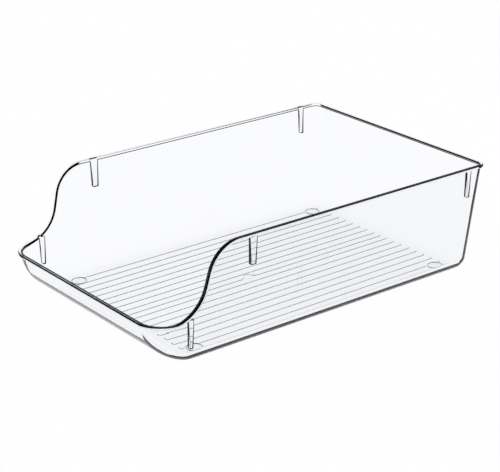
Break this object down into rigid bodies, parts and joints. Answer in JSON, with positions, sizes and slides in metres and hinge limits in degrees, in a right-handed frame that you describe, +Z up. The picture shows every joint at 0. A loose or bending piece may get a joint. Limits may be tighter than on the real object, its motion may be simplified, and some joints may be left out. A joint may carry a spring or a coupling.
{
  "type": "fridge bin",
  "caption": "Clear open-top storage tray with three tall sloping walls, a low curved front, a thin rim and small round feet.",
  "frame": {"origin": "middle of the footprint, on the surface that the feet stand on", "axes": "+Z up, +Y towards the tall back wall, so the low open front faces -Y, +X to the right seen from the front"},
  "size_m": [0.207, 0.32, 0.091],
  "materials": {
    "clear_plastic": "clear, glossy",
    "clear_foot": "clear, soft"
  },
  "bodies": {
    "root": {"bin_shell": "clear_plastic", "foot_front_left": "clear_foot", "foot_front_right": "clear_foot", "foot_rear_left": "clear_foot", "foot_rear_right": "clear_foot"}
  },
  "joints": []
}
